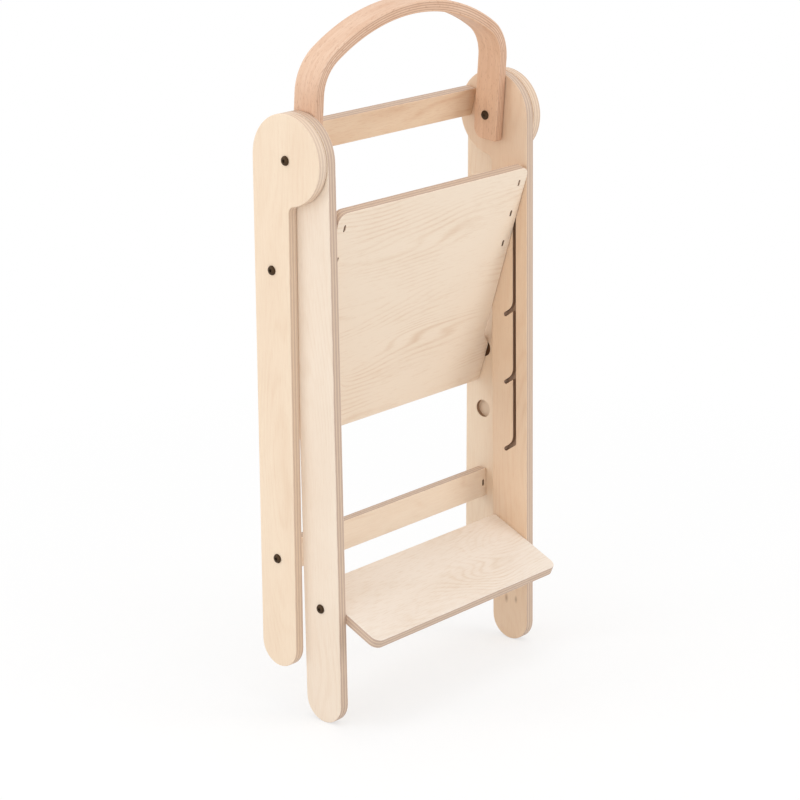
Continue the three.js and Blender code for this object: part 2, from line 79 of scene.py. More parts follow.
# The camera's directions, its place and its shift, as the photograph's perspective gives them.
CAMERA_FORWARD = Vector((0.69597549, 0.65170284, -0.3014988))
CAMERA_UP = Vector((0.23090998, 0.19445219, 0.95334618))
CAMERA_FROM_PIVOT = Vector((-2.56096, -2.38735, 0.70587))
CAMERA_SHIFT = 0.008986

# Marks in a board's own frame, with places and sizes in metres. A knot's lift is in radians of
# the growth lines' phase. A cut shade is painted shade in a groove, slot or recess, and its
# wall and floor are shares.
Knot = namedtuple("Knot", "along across radius lift")
Pin = namedtuple("Pin", "along across radius")
CutShade = namedtuple("CutShade", "near far middle half wall floor")
# Painted shade in the cuts: the pins' groove in the front legs, the pegs' recesses in the rear legs, and the slots
# of the platform and the rails.
PIN_GROOVE = CutShade(near=0.1, far=0.56, middle=-0.035, half=0.015, wall=0.75, floor=0.15)
PEG_RECESSES = CutShade(near=0.1, far=0.56, middle=0.03, half=0.022, wall=0.75, floor=0.85)
PLATFORM_SLOTS = CutShade(near=0.172, far=0.194, middle=-0.15, half=0.135, wall=0.85, floor=0.0)
RAIL_SLOTS = CutShade(near=0.2, far=0.209, middle=0.0, half=0.015, wall=0.85, floor=0.0)


# Sizes and colours


def linear(code):
    """An sRGB hex colour as linear red, green and blue."""
    parts = [int(code[at : at + 2], 16) / 255 for at in (1, 3, 5)]
    return tuple(p / 12.92 if p <= 0.04045 else ((p + 0.055) / 1.055) ** 2.4 for p in parts)


def colour(name, code, description):
    """A colour property whose default is an sRGB hex value."""
    return FloatVectorProperty(
        name=name, description=description, subtype="COLOR", size=3, min=0, max=1, default=linear(code)
    )


def length(name, metres, description):
    """A length property in metres."""
    return FloatProperty(
        name=name, description=description, default=metres, min=0, unit="LENGTH", precision=5
    )


def power(name, watts, description):
    """A lamp's power in watts."""
    return FloatProperty(name=name, description=description, default=watts, min=0, unit="POWER")


class BirchSettings(bpy.types.PropertyGroup):
    face: colour("Face", "#F8E1C5", "Sanded face veneer between the growth lines")
    pale: colour("Pale Face", "#F6E9DB", "Face veneer of the paler, pinker boards")
    line: colour("Growth Line", "#CF9A70", "Growth lines and figure of the face veneer")
    pale_line: colour("Pale Growth Line", "#CBA678", "The same lines on the paler boards")
    long_ply: colour("Long Ply", "#DEC6AE", "Inner plies whose fibres run along the edge")
    warm_ply: colour("Warm Ply", "#EBCBA8", "The same plies in the yellower boards")
    cross_ply: colour("Cross Ply", "#CAAF9C", "Inner plies that show end grain at the edge")
    tan_ply: colour("Tan Ply", "#CDA786", "The same plies in warmer boards")
    glue: colour("Glue Line", "#AA8D7A", "Glue between the plies")
    # Colour of the pin knots, and of the painted shade on the walls and floors of grooves, slots and recesses.
    cut_shade_and_knots: colour("Routed Wood", "#80593A", "Walls and floors of grooves, darkened by the cutter")
    plies: IntProperty(name="Plies", description="Plies in a board", default=7, min=3, max=21)
    veneer: length("Face Veneer", 0.0009, "Thickness of the face veneer after sanding")


class BeechSettings(bpy.types.PropertyGroup):
    face: colour("Face", "#F0CFB5", "Steamed beech face")
    # Painted shade: the strip's inner, concave face is coloured darker and more saturated, as it lies in shade.
    shaded_inner_face: colour("Inner Face", "#EEC6A5", "Face of the innermost lamination, a browner veneer")
    fibre: colour("Fibre", "#D6A683", "Darker fibre bands along the strip")
    fleck: colour("Ray Fleck", "#A87455", "Short dark ray flecks")
    seam: colour("Seam", "#9C6B4B", "Seams between the laminations at the edge")
    dark_layer: colour("Dark Layer", "#DDB497", "Every other lamination at the edge")
    layers: IntProperty(
        name="Laminations", description="Layers in the bent strip", default=5, min=2, max=15
    )


class HardwareSettings(bpy.types.PropertyGroup):
    black: colour("Black Oxide", "#261A10", "Black oxide on the steel bolts")
    worn: colour("Worn Oxide", "#5A4329", "Brown of the oxide where it is thin")
    # Painted shade: the platform's pegs are coloured the dark brown of the shaded recess they sit in.
    brown: colour("Brown Oxide", "#62422B", "Thin oxide on the platform's pegs")
    zinc: colour("Zinc", "#3E3731", "Dull zinc plating on the nuts")
    dark_zinc: colour("Dark Zinc", "#2B2622", "The darker clouds of that plating")
    nylon: colour("Nylon", "#EAE7E0", "Moulded nylon washers")
    grey_nylon: colour("Grey Nylon", "#D9D4CA", "The greyer mottle of the washers' skin")
    rim: length("Rim Height", 0.0009, "Height of a bolt head's flange")
    flat: length("Flat Radius", 0.0030, "Radius of the flat round the hexagon socket")
    socket: length("Socket", 0.0040, "Distance across the flats of the hexagon socket")


class StageSettings(bpy.types.PropertyGroup):
    lens: FloatProperty(
        name="Lens", description="Focal length on a 36 mm sensor", default=113.99, min=10, max=400
    )
    backdrop: colour("Backdrop", "#FFFFFF", "Floor and surroundings")
    bounce: colour("Floor Bounce", "#E8E8E8", "Floor as the object is lit by it")
    surround: FloatProperty(
        name="Surround", description="Light of the white surroundings", default=0.78, min=0
    )
    side: power("Side Lamp", 9.6, "Power of the low lamp on the left")
    front: power("Front Lamp", 20.5, "Power of the broad lamp in front")
    top: power("Top Lamp", 14, "Power of the soft lamp overhead")
    rear: power("Rear Lamp", 13, "Power of the lamp behind on the left")


# Materials


def add(tree, kind, inputs=None, **settings):
    """Adds a node of a kind with its settings. An input is a number, a colour, a node or a socket."""
    made = tree.nodes.new(kind)
    for name, value in settings.items():
        setattr(made, name, value)
    for name, value in (inputs or {}).items():
        if isinstance(value, bpy.types.Node):
            value = value.outputs[0]
        if isinstance(value, bpy.types.NodeSocket):
            tree.links.new(value, made.inputs[name])
        else:
            made.inputs[name].default_value = value
    return made


def new_material(name):
    """An empty node material, and the tree to build it in."""
    made = bpy.data.materials.new(name)
    made.use_nodes = True
    made.node_tree.nodes.clear()
    return made, made.node_tree


def rgba(parts):
    """A colour with full alpha, as a node's socket takes it."""
    return (*parts, 1.0)


def birch_plywood(
    name,
    origin,
    turn,
    seed,
    blush=0.0,
    warmth=0.0,
    tan=0.0,
    bleach=0.0,
    figure=1.0,
    swells=115.0,
    spacing=0.016,
    mottle=0.3,
    dashes=0.2,
    knots=(),
    pins=(),
    cut_shade_and_knots=None,
):
    """Birch plywood, rotary cut and sanded, sealed with a thin matt oil.

    The eye gets a pale cream face with faint wavy growth lines and fine fibres along the grain,
    and at every edge, hole and groove the stack of plies that the cut went through. A Mapping
    node turns the pattern into the board's own frame: X along the grain, Y across it and Z
    through the thickness from the middle of the board. Depth under the nearer face, over the
    thickness of a ply, says which ply a point is in, and odd plies show end grain.

    Boards differ as follows. The seed moves the pattern. Blush goes from the cream face to the
    paler one, warmth darkens the whole face, and mottle is how much that varies. Tan warms the
    plies and bleach pales them. Figure is the strength of the growth lines, spacing their
    distance, swells how far they wander, and dashes the strength of the vessel dashes. A knot's
    lift is how far it moves the lines. A pin is a small dark knot. The cut shade is painted
    shade in a groove, slot or recess, where its walls and floors lie in shade: its near and far
    distance from the origin along the board, its middle and half width across it, how strongly
    the painted shade covers it, and how much of the face's colour its floors keep.
    """
    birch = bpy.context.scene.tower_birch
    made, tree = new_material(name)
    place = add(tree, "ShaderNodeTexCoord").outputs["Object"]
    rotation = Matrix.Rotation(turn[1], 4, turn[0])
    board = add(
        tree,
        "ShaderNodeMapping",
        {"Vector": place, "Location": -(rotation @ Vector(origin)), "Rotation": rotation.to_euler("XYZ")},
    )
    axes = add(tree, "ShaderNodeSeparateXYZ", {0: board})
    along, across, through = axes.outputs

    # Which ply: 0 is the face veneer.
    ply = (BOARD - 2 * birch.veneer) / (birch.plies - 2)
    height = add(tree, "ShaderNodeMath", {0: through}, operation="ABSOLUTE")
    wobble = add(tree, "ShaderNodeTexNoise", {"Vector": board, "Scale": 35.0, "Detail": 1.0})
    sway = add(tree, "ShaderNodeMath", {0: wobble.outputs[0], 1: 0.5, 2: 0.75}, operation="MULTIPLY_ADD")
    under = add(tree, "ShaderNodeMath", {0: BOARD / 2 - birch.veneer, 1: height}, operation="SUBTRACT")
    count = add(tree, "ShaderNodeMath", {0: under, 1: 1 / ply, 2: sway}, operation="MULTIPLY_ADD")
    count = add(tree, "ShaderNodeMath", {0: count, 1: 0.45}, operation="MAXIMUM")
    layer = add(tree, "ShaderNodeMath", {0: count}, operation="FLOOR")
    inner = add(tree, "ShaderNodeMath", {0: layer, 1: 0.5}, operation="GREATER_THAN")
    odd = add(tree, "ShaderNodeMath", {0: layer, 1: 2.0}, operation="MODULO")
    beside = add(tree, "ShaderNodeMath", {0: count, 1: 0.5}, operation="PINGPONG")
    # Glue lines are 0.1 mm wide, and are drawn at 0.4 mm so that they show.
    glue = add(
        tree, "ShaderNodeMapRange", {"Value": beside, "From Max": 0.16, "To Min": 0.55, "To Max": 0.0}
    )
    deep = add(tree, "ShaderNodeMath", {0: count, 1: 0.75}, operation="GREATER_THAN")
    glue = add(tree, "ShaderNodeMath", {0: glue, 1: deep}, operation="MULTIPLY")

    # Growth lines of a peeled veneer are the contours of a slow swell, so their spacing varies.
    slow = add(tree, "ShaderNodeCombineXYZ", {0: along, 1: across, 2: seed})
    slow = add(tree, "ShaderNodeVectorMath", {0: slow, 1: (2.2, 11.0, 1.0)}, operation="MULTIPLY")
    swell = add(
        tree, "ShaderNodeTexNoise", {"Vector": slow, "Scale": 1.0, "Detail": 2.0, "Roughness": 0.36}
    )
    rings = add(tree, "ShaderNodeMath", {0: across, 1: 2 * math.pi / spacing}, operation="MULTIPLY")
    rings = add(
        tree, "ShaderNodeMath", {0: swell.outputs[0], 1: swells, 2: rings}, operation="MULTIPLY_ADD"
    )
    bulges = []
    for knot in knots:
        at = (knot.along, knot.across, 0.0)
        offset = add(tree, "ShaderNodeVectorMath", {0: board, 1: at}, operation="SUBTRACT")
        offset = add(tree, "ShaderNodeVectorMath", {0: offset, 1: (0.5, 1.0, 0.0)}, operation="MULTIPLY")
        far = add(tree, "ShaderNodeVectorMath", {0: offset}, operation="LENGTH").outputs["Value"]
        far = add(tree, "ShaderNodeMath", {0: far, 1: knot.radius}, operation="DIVIDE")
        far = add(tree, "ShaderNodeMath", {0: far, 1: 2.0}, operation="POWER")
        bulge = add(tree, "ShaderNodeMath", {0: 1 / math.e, 1: far}, operation="POWER")
        rings = add(
            tree, "ShaderNodeMath", {0: bulge, 1: knot.lift, 2: rings}, operation="MULTIPLY_ADD"
        )
        bulges.append(bulge)
    ring = add(tree, "ShaderNodeMath", {0: rings}, operation="SINE")
    ring = add(tree, "ShaderNodeMath", {0: ring, 1: 0.5, 2: 0.5}, operation="MULTIPLY_ADD")
    ring = add(tree, "ShaderNodeMath", {0: ring, 1: 2.6}, operation="POWER")
    patch = add(tree, "ShaderNodeVectorMath", {0: slow, 1: (2.6, 1.1, 3.0)}, operation="MULTIPLY")
    patch = add(
        tree, "ShaderNodeTexNoise", {"Vector": patch, "Scale": 1.0, "Detail": 3.0, "Roughness": 0.6}
    )
    most = 0.32 * figure
    strength = add(
        tree,
        "ShaderNodeMapRange",
        {"Value": patch.outputs[0], "From Min": 0.44, "From Max": 0.64, "To Max": most},
    )
    # The lines are plainer to the eye around a knot.
    for bulge in bulges:
        strength = add(
            tree, "ShaderNodeMath", {0: bulge, 1: 0.16 * figure, 2: strength}, operation="MULTIPLY_ADD"
        )
    ring = add(tree, "ShaderNodeMath", {0: ring, 1: strength}, operation="MULTIPLY")

    # Fibres are 0.3 mm wide, and are drawn at 2 mm so that they show.
    fine = add(tree, "ShaderNodeCombineXYZ", {0: along, 1: across, 2: seed})
    fine = add(tree, "ShaderNodeVectorMath", {0: fine, 1: (22.0, 480.0, 3.0)}, operation="MULTIPLY")
    fibre = add(
        tree, "ShaderNodeTexNoise", {"Vector": fine, "Scale": 1.0, "Detail": 2.0, "Roughness": 0.6}
    )
    grain = add(tree, "ShaderNodeMath", {0: fibre.outputs[0], 1: 0.2, 2: -0.07}, operation="MULTIPLY_ADD")
    # Vessel dashes are 0.1 mm wide and 3 mm long, and are drawn at 1.6 mm by 14 mm so that they show.
    dash = add(tree, "ShaderNodeVectorMath", {0: board, 1: (70.0, 620.0, 40.0)}, operation="MULTIPLY")
    dash = add(tree, "ShaderNodeTexNoise", {"Vector": dash, "Scale": 1.0, "Detail": 1.0})
    dash = add(
        tree,
        "ShaderNodeMapRange",
        {"Value": dash.outputs[0], "From Min": 0.52, "From Max": 0.72, "To Max": 0.3 * dashes},
    )
    grain = add(tree, "ShaderNodeMath", {0: grain, 1: dash}, operation="ADD")
    cloud = add(tree, "ShaderNodeVectorMath", {0: board, 1: (5.0, 16.0, 1.0)}, operation="MULTIPLY")
    cloud = add(tree, "ShaderNodeTexNoise", {"Vector": cloud, "Scale": 1.0, "Detail": 2.0})
    cloud = add(
        tree,
        "ShaderNodeMath",
        {0: cloud.outputs[0], 1: mottle, 2: warmth - 0.43 * mottle},
        operation="MULTIPLY_ADD",
    )
    marks = add(tree, "ShaderNodeMath", {0: ring, 1: grain}, operation="ADD")
    marks = add(tree, "ShaderNodeMath", {0: marks, 1: cloud}, operation="ADD", use_clamp=True)
    tint = add(
        tree, "ShaderNodeMix", {0: blush, 6: rgba(birch.face), 7: rgba(birch.pale)}, data_type="RGBA"
    )
    line = add(
        tree,
        "ShaderNodeMix",
        {0: blush, 6: rgba(birch.line), 7: rgba(birch.pale_line)},
        data_type="RGBA",
    )
    face = add(
        tree, "ShaderNodeMix", {0: marks, 6: tint.outputs[2], 7: line.outputs[2]}, data_type="RGBA"
    )

    for pin in pins:
        at = (pin.along, pin.across, BOARD / 2)
        offset = add(tree, "ShaderNodeVectorMath", {0: board, 1: at}, operation="SUBTRACT")
        offset = add(tree, "ShaderNodeVectorMath", {0: offset, 1: (0.45, 1.0, 1.0)}, operation="MULTIPLY")
        away = add(tree, "ShaderNodeVectorMath", {0: offset}, operation="LENGTH").outputs["Value"]
        spot = add(
            tree,
            "ShaderNodeMapRange",
            {"Value": away, "From Max": pin.radius, "To Min": 0.6, "To Max": 0.0},
        )
        face = add(
            tree,
            "ShaderNodeMix",
            {0: spot, 6: face.outputs[2], 7: rgba(birch.cut_shade_and_knots)},
            data_type="RGBA",
        )

    # Edges: each ply has its own streaks.
    streak = add(tree, "ShaderNodeCombineXYZ", {0: along, 1: across, 2: layer})
    streak = add(tree, "ShaderNodeVectorMath", {0: streak, 1: (60.0, 60.0, 5.3)}, operation="MULTIPLY")
    streak = add(
        tree, "ShaderNodeTexNoise", {"Vector": streak, "Scale": 1.0, "Detail": 3.0, "Roughness": 0.6}
    )
    share = add(
        tree, "ShaderNodeMath", {0: streak.outputs[0], 1: 0.9, 2: -0.45}, operation="MULTIPLY_ADD"
    )
    share = add(tree, "ShaderNodeMath", {0: odd, 1: share}, operation="ADD", use_clamp=True)
    cross_ply = add(
        tree,
        "ShaderNodeMix",
        {0: tan, 6: rgba(birch.cross_ply), 7: rgba(birch.tan_ply)},
        data_type="RGBA",
    )
    long_ply = add(
        tree,
        "ShaderNodeMix",
        {0: tan, 6: rgba(birch.long_ply), 7: rgba(birch.warm_ply)},
        data_type="RGBA",
    )
    stack = add(
        tree,
        "ShaderNodeMix",
        {0: share, 6: long_ply.outputs[2], 7: cross_ply.outputs[2]},
        data_type="RGBA",
    )
    stack = add(
        tree, "ShaderNodeMix", {0: glue, 6: stack.outputs[2], 7: rgba(birch.glue)}, data_type="RGBA"
    )
    stack = add(
        tree, "ShaderNodeMix", {0: bleach, 6: stack.outputs[2], 7: rgba(birch.pale)}, data_type="RGBA"
    )
    # Painted shade: the walls and floors of a groove, slot or recess are darkened as the shade in them.
    if cut_shade_and_knots:
        # A groove's floor is near the middle of the thickness, and its walls lie above that.
        cut = add(tree, "ShaderNodeMath", {0: across, 1: cut_shade_and_knots.middle}, operation="SUBTRACT")
        cut = add(tree, "ShaderNodeMath", {0: cut}, operation="ABSOLUTE")
        cut = add(tree, "ShaderNodeMath", {0: cut, 1: cut_shade_and_knots.half}, operation="LESS_THAN")
        out = add(tree, "ShaderNodeMath", {0: along}, operation="ABSOLUTE")
        half_way, reach = (cut_shade_and_knots.near + cut_shade_and_knots.far) / 2, (cut_shade_and_knots.far - cut_shade_and_knots.near) / 2
        out = add(tree, "ShaderNodeMath", {0: out, 1: half_way, 2: reach}, operation="COMPARE")
        cut = add(tree, "ShaderNodeMath", {0: cut, 1: out}, operation="MULTIPLY")
        kept = cut_shade_and_knots.floor
        deep = add(
            tree,
            "ShaderNodeMapRange",
            {"Value": height, "From Min": 0.0008, "From Max": 0.0014, "To Min": kept, "To Max": 0.0},
        )
        tone = add(
            tree,
            "ShaderNodeMix",
            {0: deep, 6: rgba(birch.cut_shade_and_knots), 7: rgba(birch.face)},
            data_type="RGBA",
        )
        dark = add(tree, "ShaderNodeMath", {0: cut, 1: cut_shade_and_knots.wall}, operation="MULTIPLY")
        stack = add(
            tree, "ShaderNodeMix", {0: dark, 6: stack.outputs[2], 7: tone.outputs[2]}, data_type="RGBA"
        )
    shade = add(
        tree, "ShaderNodeMix", {0: inner, 6: face.outputs[2], 7: stack.outputs[2]}, data_type="RGBA"
    )

    sheen = add(tree, "ShaderNodeMath", {0: fibre.outputs[0], 1: 0.16, 2: 0.44}, operation="MULTIPLY_ADD")
    bump = add(tree, "ShaderNodeBump", {"Strength": 0.12, "Distance": 0.0003, "Height": fibre.outputs[0]})
    shader = add(
        tree,
        "ShaderNodeBsdfPrincipled",
        {"Base Color": shade.outputs[2], "Roughness": sheen, "IOR": 1.45, "Normal": bump},
    )
    add(tree, "ShaderNodeOutputMaterial", {"Surface": shader})
    return made


def steamed_beech(name):
    """Steamed beech, sliced, glued up over a former and sanded.

    The eye gets a pinkish face with straight fibres and short ray flecks along the strip, and
    pale and darker layers that follow the bend on its edges. The strip attribute holds each
    point's place along the strip, across it and through it, in metres.
    """
    beech = bpy.context.scene.tower_beech
    made, tree = new_material(name)
    strip = add(tree, "ShaderNodeAttribute", attribute_name="strip").outputs["Vector"]
    through = add(tree, "ShaderNodeSeparateXYZ", {0: strip}).outputs["Z"]

    # Seams are 0.2 mm wide, and are drawn at 1 mm so that they show.
    layer = STRIP / beech.layers
    count = add(
        tree,
        "ShaderNodeMath",
        {0: through, 1: 1 / layer, 2: beech.layers / 2},
        operation="MULTIPLY_ADD",
    )
    whole = add(tree, "ShaderNodeMath", {0: count}, operation="FLOOR")
    odd = add(tree, "ShaderNodeMath", {0: whole, 1: 2.0}, operation="MODULO")
    beside = add(tree, "ShaderNodeMath", {0: count, 1: 0.5}, operation="PINGPONG")
    seam = add(
        tree,
        "ShaderNodeMapRange",
        {"Value": beside, "From Min": 0.06, "From Max": 0.26, "To Min": 0.55, "To Max": 0.0},
    )
    rim = add(tree, "ShaderNodeMath", {0: through}, operation="ABSOLUTE")
    inside = add(tree, "ShaderNodeMath", {0: rim, 1: STRIP / 2 - 0.5 * layer}, operation="LESS_THAN")
    seam = add(tree, "ShaderNodeMath", {0: seam, 1: inside}, operation="MULTIPLY")
    odd = add(tree, "ShaderNodeMath", {0: odd, 1: inside}, operation="MULTIPLY")

    # Fibre bands are 1 mm wide, and are drawn at nearly 5 mm so that they show.
    bands = add(tree, "ShaderNodeVectorMath", {0: strip, 1: (8.0, 210.0, 60.0)}, operation="MULTIPLY")
    bands = add(
        tree, "ShaderNodeTexNoise", {"Vector": bands, "Scale": 1.0, "Detail": 3.0, "Roughness": 0.62}
    )
    cloud = add(tree, "ShaderNodeVectorMath", {0: strip, 1: (14.0, 40.0, 20.0)}, operation="MULTIPLY")
    cloud = add(tree, "ShaderNodeTexNoise", {"Vector": cloud, "Scale": 1.0, "Detail": 2.0})
    mixed = add(tree, "ShaderNodeMath", {0: cloud.outputs[0], 1: 0.9, 2: -0.62}, operation="MULTIPLY_ADD")
    mixed = add(
        tree,
        "ShaderNodeMath",
        {0: bands.outputs[0], 1: 1.15, 2: mixed},
        operation="MULTIPLY_ADD",
        use_clamp=True,
    )
    # Painted shade: the inner face takes the darker, more saturated colour.
    inner_shade_mask = add(tree, "ShaderNodeMath", {0: through, 1: layer / 2 - STRIP / 2}, operation="LESS_THAN")
    tone = add(
        tree,
        "ShaderNodeMix",
        {0: inner_shade_mask, 6: rgba(beech.face), 7: rgba(beech.shaded_inner_face)},
        data_type="RGBA",
    )
    face = add(
        tree, "ShaderNodeMix", {0: mixed, 6: tone.outputs[2], 7: rgba(beech.fibre)}, data_type="RGBA"
    )

    # Ray flecks are 0.4 mm wide and 3 mm long, and are drawn at 1.3 mm by 7 mm so that they show.
    flecks = add(tree, "ShaderNodeVectorMath", {0: strip, 1: (150.0, 800.0, 300.0)}, operation="MULTIPLY")
    flecks = add(tree, "ShaderNodeTexNoise", {"Vector": flecks, "Scale": 1.0, "Detail": 1.0})
    flecks = add(
        tree,
        "ShaderNodeMapRange",
        {"Value": flecks.outputs[0], "From Min": 0.58, "From Max": 0.75, "To Max": 0.4},
    )
    face = add(
        tree, "ShaderNodeMix", {0: flecks, 6: face.outputs[2], 7: rgba(beech.fleck)}, data_type="RGBA"
    )
    dark = add(tree, "ShaderNodeMath", {0: odd, 1: 0.5}, operation="MULTIPLY")
    shade = add(
        tree,
        "ShaderNodeMix",
        {0: dark, 6: face.outputs[2], 7: rgba(beech.dark_layer)},
        data_type="RGBA",
    )
    shade = add(
        tree, "ShaderNodeMix", {0: seam, 6: shade.outputs[2], 7: rgba(beech.seam)}, data_type="RGBA"
    )
    bump = add(tree, "ShaderNodeBump", {"Strength": 0.1, "Distance": 0.0003, "Height": bands.outputs[0]})
    sheen = add(tree, "ShaderNodeMath", {0: bands.outputs[0], 1: 0.14, 2: 0.42}, operation="MULTIPLY_ADD")
    shader = add(
        tree,
        "ShaderNodeBsdfPrincipled",
        {"Base Color": shade.outputs[2], "Roughness": sheen, "IOR": 1.45, "Normal": bump},
    )
    add(tree, "ShaderNodeOutputMaterial", {"Surface": shader})
    return made


def recess_shade_steel(name):
    """Turned steel coloured as painted shade: the dark brown of the shaded recess round the peg, with the same
    soft shine as the bolts.
    """
    hardware = bpy.context.scene.tower_hardware
    return black_oxide_steel(name, hardware.brown, hardware.worn)


def black_oxide_steel(name, dark=None, worn=None):
    """Cold-formed steel blackened with oxide: near black, softly shiny, browner where it is worn."""
    hardware = bpy.context.scene.tower_hardware
    made, tree = new_material(name)
    place = add(tree, "ShaderNodeTexCoord").outputs["Object"]
    # Grain of the oxide is finer than 0.1 mm, and is drawn at 0.8 mm so that it shows.
    mottle = add(
        tree, "ShaderNodeTexNoise", {"Vector": place, "Scale": 1250.0, "Detail": 3.0, "Roughness": 0.6}
    )
    shade = add(
        tree,
        "ShaderNodeMix",
        {0: mottle.outputs[0], 6: rgba(dark or hardware.black), 7: rgba(worn or hardware.worn)},
        data_type="RGBA",
    )
    rough = add(tree, "ShaderNodeMath", {0: mottle.outputs[0], 1: 0.22, 2: 0.3}, operation="MULTIPLY_ADD")
    bump = add(tree, "ShaderNodeBump", {"Strength": 0.1, "Distance": 0.0001, "Height": mottle.outputs[0]})
    shader = add(
        tree,
        "ShaderNodeBsdfPrincipled",
        {"Base Color": shade.outputs[2], "Metallic": 0.7, "Roughness": rough, "Normal": bump},
    )
    add(tree, "ShaderNodeOutputMaterial", {"Surface": shader})
    return made


def dull_zinc_plate(name):
    """Dull zinc plate on stamped steel nuts: dark brownish grey metal with fine cloudy spangle."""
    hardware = bpy.context.scene.tower_hardware
    made, tree = new_material(name)
    place = add(tree, "ShaderNodeTexCoord").outputs["Object"]
    spangle = add(tree, "ShaderNodeTexNoise", {"Vector": place, "Scale": 700.0, "Detail": 2.0})
    rough = add(
        tree, "ShaderNodeMath", {0: spangle.outputs[0], 1: 0.25, 2: 0.2}, operation="MULTIPLY_ADD"
    )
    shade = add(
        tree,
        "ShaderNodeMix",
        {0: spangle.outputs[0], 6: rgba(hardware.zinc), 7: rgba(hardware.dark_zinc)},
        data_type="RGBA",
    )
    shader = add(
        tree,
        "ShaderNodeBsdfPrincipled",
        {"Base Color": shade.outputs[2], "Metallic": 1.0, "Roughness": rough},
    )
    add(tree, "ShaderNodeOutputMaterial", {"Surface": shader})
    return made


def moulded_nylon(name):
    """Moulded nylon: slightly translucent off-white with a satin, faintly mottled skin."""
    hardware = bpy.context.scene.tower_hardware
    made, tree = new_material(name)
    place = add(tree, "ShaderNodeTexCoord").outputs["Object"]
    skin = add(tree, "ShaderNodeTexNoise", {"Vector": place, "Scale": 500.0, "Detail": 2.0})
    shade = add(
        tree,
        "ShaderNodeMix",
        {0: skin.outputs[0], 6: rgba(hardware.nylon), 7: rgba(hardware.grey_nylon)},
        data_type="RGBA",
    )
    rough = add(tree, "ShaderNodeMath", {0: skin.outputs[0], 1: 0.2, 2: 0.35}, operation="MULTIPLY_ADD")
    shader = add(
        tree,
        "ShaderNodeBsdfPrincipled",
        {"Base Color": shade.outputs[2], "Roughness": rough, "IOR": 1.53},
    )
    add(tree, "ShaderNodeOutputMaterial", {"Surface": shader})
    return made


def shared(make):
    """A material that several pieces share is made once, and named as the function that makes it."""
    return bpy.data.materials.get(make.__name__) or make(make.__name__)


# Surfaces


def surface_object(name, points, material, attribute=None):
    """A closed piece from a grid of points whose first and last rows are capped to their middles.

    Rows run along the piece and columns round it. Vertices are the grid's points and the two
    middles, faces are the quads between neighbouring rows and columns, wrapped round, and a
    fan of triangles at each end. The attribute is a vector at every point of the grid.
    """
    rows, columns = points.shape[:2]
    ends = points[[0, -1]].mean(axis=1)
    vertices = np.concatenate([points.reshape(-1, 3), ends])
    index = np.arange(rows * columns).reshape(rows, columns)
    after = np.roll(index, -1, axis=1)
    quads = np.stack([index[:-1], after[:-1], after[1:], index[1:]], axis=-1).reshape(-1, 4)
    low, high = rows * columns, rows * columns + 1
    first = np.stack([np.full(columns, low), after[0], index[0]], axis=-1)
    last = np.stack([np.full(columns, high), index[-1], after[-1]], axis=-1)
    mesh = bpy.data.meshes.new(name)
    mesh.from_pydata(vertices.tolist(), [], quads.tolist() + first.tolist() + last.tolist())
    if attribute is not None:
        values = np.concatenate([attribute.reshape(-1, 3), attribute[[0, -1]].mean(axis=1)])
        layer = mesh.attributes.new("strip", "FLOAT_VECTOR", "POINT")
        layer.data.foreach_set("vector", values.astype(np.float32).ravel())
    mesh.validate()
    mesh.materials.append(material)
    made = bpy.data.objects.new(name, mesh)
    bpy.context.scene.collection.objects.link(made)
    return made


def shade_by_angle(piece, degrees=35):
    """Smooth shading, broken where two faces meet at more than an angle."""
    piece.data.shade_smooth()
    piece.data.set_sharp_from_angle(angle=math.radians(degrees))


def face_outwards(piece):
    """Turns every face round where the closed surface came out with a negative volume."""
    mesh = piece.data
    mesh.calc_loop_triangles()
    corners = np.empty(len(mesh.loop_triangles) * 3, dtype=np.int32)
    mesh.loop_triangles.foreach_get("vertices", corners)
    places = np.empty(len(mesh.vertices) * 3, dtype=np.float32)
    mesh.vertices.foreach_get("co", places)
    a, b, c = places.reshape(-1, 3)[corners.reshape(-1, 3)].swapaxes(0, 1)
    if np.einsum("ij,ij->", a, np.cross(b, c)) < 0:
        mesh.flip_normals()


def arc(middle, radius, start, end, steps):
    """Points of an arc: the middle plus the radius times cosine and sine of evenly spaced angles."""
    angle = np.linspace(start, end, steps)
    return np.stack([middle[0] + radius * np.cos(angle), middle[1] + radius * np.sin(angle)], axis=-1)


def turned_piece(name, profile, centre, way, material, hexagons=None, columns=72):
    """A turned piece along X: radius and place from a profile, swept through a full circle.

    A point is its place along X, and its radius times cosine and sine of the angle. Rows
    named in hexagons have the radius of a hexagon instead: half the width across flats over the
    cosine of the angle to the nearest flat's middle. The profile runs from tip to head.
    """
    angle = np.linspace(0, 2 * np.pi, columns, endpoint=False)
    radius, place = np.asarray(profile, dtype=float).T
    sector = np.pi / 3
    nearest = (angle + sector / 2) % sector - sector / 2
    reach = np.repeat(radius[:, None], columns, axis=1)
    for row in hexagons or ():
        reach[row] = radius[row] / np.cos(nearest)
    x = np.repeat((way * place)[:, None], columns, axis=1)
    points = np.stack([x, centre[0] + reach * np.cos(angle), centre[1] + reach * np.sin(angle)], axis=-1)
    piece = surface_object(name, points, material)
    face_outwards(piece)
    shade_by_angle(piece)
    return piece


def node_axis(node):
    """The centre of a turned node in the side view, its near and far place along X, and its radius."""
    low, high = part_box(node)
    centre = ((low.y + high.y) / 2, (low.z + high.z) / 2)
    ends = sorted((abs(low.x), abs(high.x)))
    return centre, ends[0], ends[1], max(high.y - low.y, high.z - low.z) / 2


